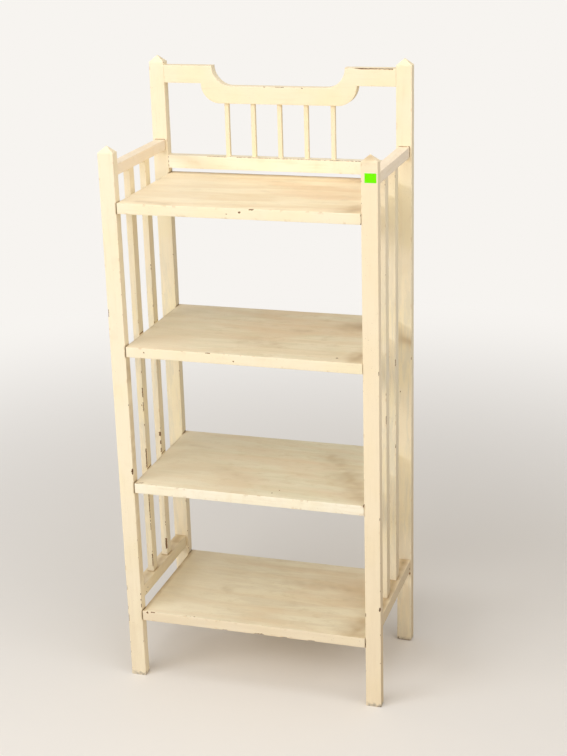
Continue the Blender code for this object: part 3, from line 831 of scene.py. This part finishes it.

# Where hands, dust and years have left grime, and where shade is painted: start, end, reach, strength
# and where its faces look
STAINS_AND_SHADES = {
    "top_shelf": [
        ((0.165, 0.12, 0.988), (0.232, 0.135, 0.988), 0.045, 0.30, UP),
        ((0.205, -0.13, 0.988), (0.232, -0.09, 0.988), 0.050, 0.34, UP),
        ((-0.2, -0.125, 0.988), (-0.13, -0.138, 0.988), 0.020, 0.24, UP),
        ((-0.232, 0.1465, 0.988), (0.232, 0.1465, 0.988), 0.007, 0.85, UP),
        ((0.0, 0.09, 0.988), (0.06, 0.1, 0.988), 0.030, 0.20, UP),
    ],
    "upper_shelf": [
        ((0.165, 0.07, 0.7095), (0.232, 0.08, 0.7095), 0.055, 0.44, UP),
        ((0.212, -0.12, 0.7095), (0.232, -0.06, 0.7095), 0.034, 0.50, UP),
        ((0.06, 0.02, 0.7095), (0.08, 0.024, 0.7095), 0.024, 0.26, UP),
        ((-0.01, -0.06, 0.7095), (0.04, -0.07, 0.7095), 0.050, 0.22, UP),
        ((-0.2322, -0.1465, 0.7095), (-0.2322, 0.1465, 0.7095), 0.006, 0.28, UP),
    ],
    "lower_shelf": [
        # A broad darker arc over the right part of the shelf
        ((0.112, 0.074, 0.428), (0.166, -0.004, 0.428), 0.062, 0.25, UP),
        ((0.166, -0.004, 0.428), (0.216, -0.1, 0.428), 0.062, 0.31, UP),
        ((0.222, -0.12, 0.428), (0.232, 0.06, 0.428), 0.030, 0.32, UP),
        ((-0.09, -0.04, 0.428), (-0.03, -0.07, 0.428), 0.050, 0.16, UP),
        ((-0.2322, -0.1465, 0.428), (-0.2322, 0.1465, 0.428), 0.006, 0.30, UP),
        ((-0.19, 0.07, 0.428), (-0.15, 0.064, 0.428), 0.016, 0.20, UP),
    ],
    "bottom_shelf": [
        ((0.18, 0.03, 0.148), (0.232, -0.04, 0.148), 0.070, 0.28, UP),
        ((0.205, -0.13, 0.148), (0.232, -0.05, 0.148), 0.052, 0.36, UP),
        ((-0.1, -0.01, 0.148), (-0.09, -0.016, 0.148), 0.018, 0.28, UP),
        ((0.05, -0.04, 0.148), (0.06, -0.044, 0.148), 0.024, 0.18, UP),
        ((-0.2322, -0.1465, 0.148), (-0.2322, 0.1465, 0.148), 0.012, 0.46, UP),
        ((0.02, 0.05, 0.148), (0.2, 0.04, 0.148), 0.030, 0.24, UP),
    ],
    "right_bottom_rail": [
        ((0.249, -0.12, 0.19), (0.249, 0.126, 0.19), 0.016, 0.62, UP),
    ],
    "left_bottom_rail": [
        ((-0.249, -0.126, 0.19), (-0.249, 0.126, 0.19), 0.016, 0.34, UP),
        ((-0.249, 0.095, 0.19), (-0.249, 0.126, 0.19), 0.020, 0.55, UP),
    ],
    "back_right_post": [
        # Painted shadow of the upper shelf, in a band just below it on the front
        ((0.24, 0.1265, 0.675), (0.263, 0.1265, 0.665), 0.030, 0.31, FRONT),
        ((0.2325, 0.1265, 0.001), (0.263, 0.1265, 0.001), 0.010, 0.40, FRONT),
    ],
    "left_rear_slat": [
        ((-0.248, 0.0265, 0.43), (-0.247, 0.0265, 0.52), 0.010, 0.14, FRONT),
    ],
    "front_right_post": [
        ((0.24, -0.14, 1.087), (0.256, -0.14, 1.092), 0.020, 0.42, FRONT),
    ],
    "front_left_post": [
        # Painted shade on the inner side: along its middle, and just under the upper shelf
        ((-0.2325, -0.1365, 0.23), (-0.2325, -0.1365, 0.58), 0.034, 0.26, RIGHT),
        ((-0.2325, -0.1465, 0.655), (-0.2325, -0.1265, 0.655), 0.060, 0.34, RIGHT),
    ],
}

SHELVES = ("bottom_shelf", "lower_shelf", "upper_shelf", "top_shelf")
SHELF_BOXES = {name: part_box(name) for name in SHELVES}

# Where the shoulders of the rails, the slats and the spindles lie
POST_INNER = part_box("front_right_post")[0].x
RAIL_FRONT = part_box("front_left_post")[1].y
RAIL_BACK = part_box("back_left_post")[0].y
SLAT_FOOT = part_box("left_bottom_rail")[1].z
SLAT_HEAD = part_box("left_top_rail")[0].z
SPINDLE_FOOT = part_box("back_rail")[1].z
SPINDLE_HEAD = 1.129

# The blank sticker: where it lies, how far the paint is pressed in round it, and its paper
STICKER_CENTRE = Vector((0.2499, -0.1465, 1.0516))
STICKER_WIDTH = 0.0212
STICKER_HEIGHT = 0.0170
STICKER_BED = 0.00022
STICKER_BED_MARGIN = 0.002
STICKER_LIFT = 0.00012
STICKER_WAVES = 0.00003
PAPER_THICKNESS = 0.00006

# Dark lines at the joints: how far they reach, and how strong they are
POST_LINES = {"left": (0.0020, 0.9), "right": (0.0020, 0.5)}
END_LINE_REACH = 0.0021
LEFT_END_LINE = 1.8
RIGHT_END_LINES = {"bottom_shelf": 1.5, "lower_shelf": 0.25, "upper_shelf": 0.25, "top_shelf": 0.45}
SLAT_LINE = (0.0022, 0.55)

# The side rails: paint, margin of the tenons, and the lines where slats and posts meet them
SIDE_RAILS = {
    "top": (peach_painted_light_crosswise_paint, TOP_RAIL_MARGIN, (0.0026, 0.50), (0.0030, 0.70)),
    "bottom": (crosswise_paint, BOTTOM_RAIL_MARGIN, (0.0030, 0.70), (0.0020, 0.60)),
}

# The posts' nicks: along which arris, from and to which height, how many, how large
POST_NICKS = {
    "front": (("inner", 0.05, 1.05, 9, 0.0011), ("outer", 0.03, 0.50, 6, 0.0010)),
    "back": (("inner", 0.15, 0.95, 8, 0.0012),),
}

# The slats' nicks: from and to which height, how many, how large
SLAT_NICKS = {"left": (0.20, 1.03, 12, 0.0012), "right": (0.20, 1.03, 6, 0.0012)}

# Painted shade: under the three upper shelves the left side is darkened with tan, where each shelf
# shades it
UNDER_SHADE_DROP = 0.012
UNDER_SHADE_REACH = 0.045
UNDER_SHADE_STRENGTH = 0.24
for node in ("left_front_slat", "left_rear_slat", "back_left_post"):
    low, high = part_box(node)
    for name in SHELVES[1:]:
        under = SHELF_BOXES[name][0].z - UNDER_SHADE_DROP
        ends = ((low.x, low.y, under), (high.x, low.y, under))
        shade_run = (*ends, UNDER_SHADE_REACH, UNDER_SHADE_STRENGTH, FRONT)
        STAINS_AND_SHADES.setdefault(node, []).append(shade_run)


def age(node, bm, seed, joints, nick_runs=(), nail_places=()):
    """Ages one piece of wood by all its marks, and darkens its joints."""
    start_wear(bm)
    weather(bm, seed)
    for nail_place in nail_places:
        dimple(bm, nail_place, DIMPLE_RADIUS, DIMPLE_DEPTH)
    for mark in KNOCKS.get(node, []):
        knock(bm, *mark)
    for nick_run in nick_runs:
        nicks(bm, *nick_run)
    for mark in STAINS_AND_SHADES.get(node, []):
        stain_and_shade(bm, *mark)
    for joint in joints:
        joint_grime(bm, *joint)


def dress(node, bm, material, seed, joints=(), nick_runs=()):
    """Ages one piece of wood, paints it and puts it in place of its CAD node."""
    age(node, bm, seed, joints, nick_runs)
    make_piece("painted_" + node, bm, material, node)


def wear_foot(bm, seed):
    """Scuffs a foot: ragged grime where mops and shoes have caught the floor line."""
    grime_and_shade = bm.verts.layers.float["grime_and_shade"]
    for vert in bm.verts:
        if vert.co.z < FOOT_SCUFF_HEIGHT:
            near = 1 - vert.co.z / FOOT_SCUFF_HEIGHT
            rough = noise.noise(vert.co * 170 + Vector((seed, seed, seed)))
            vert[grime_and_shade] = max(vert[grime_and_shade], min(1.0, near * (0.42 + 1.2 * rough)))


def press_bed(bm):
    """Presses the paint in by a hair where the paper sticker lies."""
    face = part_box("front_right_post")[0].y
    half_width = STICKER_WIDTH / 2 + STICKER_BED_MARGIN
    half_height = STICKER_HEIGHT / 2 + STICKER_BED_MARGIN
    for vert in bm.verts:
        across = abs(vert.co.x - STICKER_CENTRE.x) < half_width
        upright = abs(vert.co.z - STICKER_CENTRE.z) < half_height
        if across and upright and vert.co.y < face + STICKER_BED:
            vert.co.y = face + STICKER_BED


POST_PAINTS = {
    "front_left_post": upright_paint,
    "front_right_post": warm_upright_paint,
    "back_left_post": smeared_upright_paint,
    "back_right_post": smeared_upright_paint,
}

for seed, node in enumerate(POST_PAINTS, start=1):
    row, side = node.split("_")[:2]
    low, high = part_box(node)
    outer, inner = (low.x, high.x) if side == "left" else (high.x, low.x)
    nail_places = [(outer, (low.y + high.y) / 2, (shelf_low.z + shelf_high.z) / 2)
                   for shelf_low, shelf_high in SHELF_BOXES.values()]
    nick_runs = []
    for number, (arris, foot, head, count, largest) in enumerate(POST_NICKS[row]):
        x = inner if arris == "inner" else outer
        ends = ((x, low.y, foot), (x, low.y, head))
        nick_runs.append((*ends, count, largest, seed + 10 * number))
    bm = post(node, high.z - POINT_HEIGHT)
    age(node, bm, seed, ((SHELVES, *POST_LINES[side]),), nick_runs, nail_places)
    wear_foot(bm, seed)
    if node == "front_right_post":
        press_bed(bm)
    make_piece("painted_" + node, bm, POST_PAINTS[node], node)

for seed, node in enumerate(SHELVES, start=11):
    bm = shelf(node)
    left_posts = (("front_left_post", "back_left_post"), END_LINE_REACH, LEFT_END_LINE)
    right_posts = (("front_right_post", "back_right_post"), END_LINE_REACH, RIGHT_END_LINES[node])
    dress(node, bm, shelf_paints[node], seed, (left_posts, right_posts))

for seed, side in enumerate(("left", "right"), start=21):
    slats = (side + "_front_slat", side + "_rear_slat")
    posts = ("front_" + side + "_post", "back_" + side + "_post")
    for number, (level, rail) in enumerate(SIDE_RAILS.items()):
        paint, margin, slat_line, post_line = rail
        node = f"{side}_{level}_rail"
        bm = stick(node, 1, (RAIL_FRONT, RAIL_BACK), margin, STICK_CELL)
        joints = ((slats, *slat_line), (posts, *post_line))
        dress(node, bm, paint, seed + 2 * number, joints)
    bottom_rail = (side + "_bottom_rail",)
    fuller = RIGHT_SLAT_FULLER if side == "right" else (0, 0)
    for number, node in enumerate(slats):
        bm = stick(node, 2, (SLAT_FOOT, SLAT_HEAD), SLAT_MARGIN, STICK_CELL, fuller)
        low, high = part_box(node)
        slat_seed = seed + 4 + 2 * number
        foot, head, count, largest = SLAT_NICKS[side]
        nick_run = ((high.x, low.y, foot), (high.x, low.y, head), count, largest, slat_seed)
        dress(node, bm, smeared_upright_paint, slat_seed,
              ((bottom_rail, *SLAT_LINE),), (nick_run,))

bm = stick("back_rail", 0, (-POST_INNER, POST_INNER), BACK_RAIL_MARGIN, STICK_CELL)
dress("back_rail", bm, painted_light_lengthwise_paint, 31)
for number in range(1, 6):
    node = f"back_spindle_{number}"
    bm = stick(node, 2, (SPINDLE_FOOT, SPINDLE_HEAD), SPINDLE_MARGIN, SPINDLE_CELL)
    dress(node, bm, upright_paint, 32 + number)

crest_low, crest_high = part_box("crest_rail")
bm = crest("crest_rail", POST_INNER, crest_high.y - crest_low.y)
dress("crest_rail", bm, lengthwise_paint, 41)

nail_steel = nail_metal()
for name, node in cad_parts.items():
    if "_nail_" in name:
        node.data.materials.clear()
        node.data.materials.append(nail_steel)


def make_sticker():
    """The blank paper sticker on the front right post."""
    bm = bmesh.new()
    bmesh.ops.create_grid(bm, x_segments=14, y_segments=11, size=0.5)
    bmesh.ops.scale(bm, vec=(STICKER_WIDTH, STICKER_HEIGHT, 1), verts=bm.verts)
    bmesh.ops.rotate(bm, cent=(0, 0, 0), matrix=Matrix.Rotation(math.pi / 2, 3, "X"), verts=bm.verts)
    bmesh.ops.translate(bm, vec=STICKER_CENTRE + Vector((0, STICKER_LIFT, 0)), verts=bm.verts)
    for vert in bm.verts:
        vert.co.y += STICKER_WAVES * noise.noise(vert.co * 160)
    bmesh.ops.solidify(bm, geom=bm.faces, thickness=PAPER_THICKNESS)
    make_piece("blank_sticker", bm, sticker_paper())


make_sticker()


# The studio

# The camera, fitted to the photograph: its place, its angles in radians, its lens in millimetres
CAMERA_PLACE = (0.88345, -2.68732, 1.60576)
CAMERA_TURN = -0.30575
CAMERA_DIP = 0.33735
CAMERA_LEAN = -0.02852
CAMERA_LENS = 72.70
SENSOR_HEIGHT = 36

# The lamps: name, place, what they look at, width and height, power in watts, colour
LAMPS = (
    ("key_lamp", (-2.58, -2.66, 2.11), (0, 0, 0.6), (2.4, 0.8), 51, (0.98, 1.0, 1.04)),
    ("front_lamp", (-0.5, -2.6, 2.95), (0, 0, 0.6), (2.2, 2.2), 31, (1.0, 0.98, 0.94)),
    ("side_lamp", (2.23, -2.97, 2.09), (0, 0, 0.6), (2.0, 2.0), 15.5, (1.0, 0.98, 0.95)),
    ("fill_lamp", (1.8, -0.7, 2.2), (0.26, 0, 1.1), (1.4, 1.4), 9, (1.04, 0.99, 0.95)),
    ("top_lamp", (0.2, -0.3, 3.6), (0, 0, 0.6), (2.0, 2.0), 21, (1.0, 0.98, 0.94)),
)

# The floor: how far it reaches, and between which distances it fades into the background
FLOOR_REACH = 20
FLOOR_FADE = (0.55, 2.6)

SURROUNDING_COLOUR = (1.0, 0.97, 0.93, 1)
SURROUNDING_STRENGTH = 0.36


def make_camera():
    """The camera at the photograph's place, turn and lens."""
    turn, dip = CAMERA_TURN, CAMERA_DIP
    forward = Vector((math.sin(turn) * math.cos(dip), math.cos(turn) * math.cos(dip), -math.sin(dip)))
    level = Vector((math.cos(turn), -math.sin(turn), 0))
    lift = level.cross(forward)
    right = math.cos(CAMERA_LEAN) * level + math.sin(CAMERA_LEAN) * lift
    up = -math.sin(CAMERA_LEAN) * level + math.cos(CAMERA_LEAN) * lift
    data = bpy.data.cameras.new("front_view")
    data.sensor_fit = "VERTICAL"
    data.sensor_height = SENSOR_HEIGHT
    data.lens = CAMERA_LENS
    camera = new_object("front_view", data)
    turned = Matrix((right, up, -forward)).transposed().to_4x4()
    camera.matrix_world = Matrix.Translation(CAMERA_PLACE) @ turned
    bpy.context.scene.camera = camera


def soft_lamp(name, place, aim, size, power, colour):
    """A large soft lamp, so wide and so tall, that looks at a point."""
    data = bpy.data.lights.new(name, "AREA")
    data.shape = "ELLIPSE"
    data.size, data.size_y = size
    data.energy = power
    data.color = colour
    place = Vector(place)
    turned = (Vector(aim) - place).to_track_quat("-Z", "Y").to_matrix().to_4x4()
    new_object(name, data).matrix_world = Matrix.Translation(place) @ turned


def floor_finish():
    """A pale floor that fades into the pale surroundings away from the unit."""
    material, tree, shader, place = start_finish("pale_floor_finish")
    shader.inputs["Base Color"].default_value = FLOOR_PALE
    shader.inputs["Roughness"].default_value = 0.8
    far_off = put(tree, "VectorMath", {"operation": "LENGTH"}, {0: place}).outputs["Value"]
    far_off = between(tree, far_off, *FLOOR_FADE)
    seen = put(tree, "LightPath").outputs["Is Camera Ray"]
    plain = put(tree, "Emission", None, {"Color": BACKGROUND, "Strength": 1.0})
    mixed = put(tree, "MixShader", None, {0: reckon(tree, "MULTIPLY", far_off, seen),
                                          1: shader.outputs[0], 2: plain.outputs[0]})
    output = [node for node in tree.nodes if node.type == "OUTPUT_MATERIAL"][0]
    tree.links.new(mixed.outputs[0], output.inputs["Surface"])
    return material


def make_floor():
    """A wide pale floor, which belongs to the studio."""
    bm = bmesh.new()
    bmesh.ops.create_grid(bm, x_segments=4, y_segments=4, size=FLOOR_REACH)
    mesh = bpy.data.meshes.new("pale_floor")
    bm.to_mesh(mesh)
    bm.free()
    floor = new_object("pale_floor", mesh)
    mesh.materials.append(floor_finish())


def make_surroundings():
    """An even light from all round, which the camera sees as the pale background."""
    world = bpy.data.worlds.new("studio")
    bpy.context.scene.world = world
    world.use_nodes = True
    tree = world.node_tree
    tree.nodes.clear()
    around = put(tree, "Background", None,
                 {"Color": SURROUNDING_COLOUR, "Strength": SURROUNDING_STRENGTH})
    seen = put(tree, "Background", None, {"Color": BACKGROUND, "Strength": 1.0})
    ray = put(tree, "LightPath").outputs
    plain = reckon(tree, "MAXIMUM", ray["Is Camera Ray"], ray["Is Glossy Ray"])
    plain = reckon(tree, "MAXIMUM", plain, ray["Is Transmission Ray"])
    mixed = put(tree, "MixShader", None, {0: plain, 1: around.outputs[0], 2: seen.outputs[0]})
    put(tree, "OutputWorld", None, {"Surface": mixed.outputs[0]})


make_camera()
make_floor()
for lamp in LAMPS:
    soft_lamp(*lamp)
make_surroundings()
bpy.context.scene.view_settings.view_transform = "Standard"
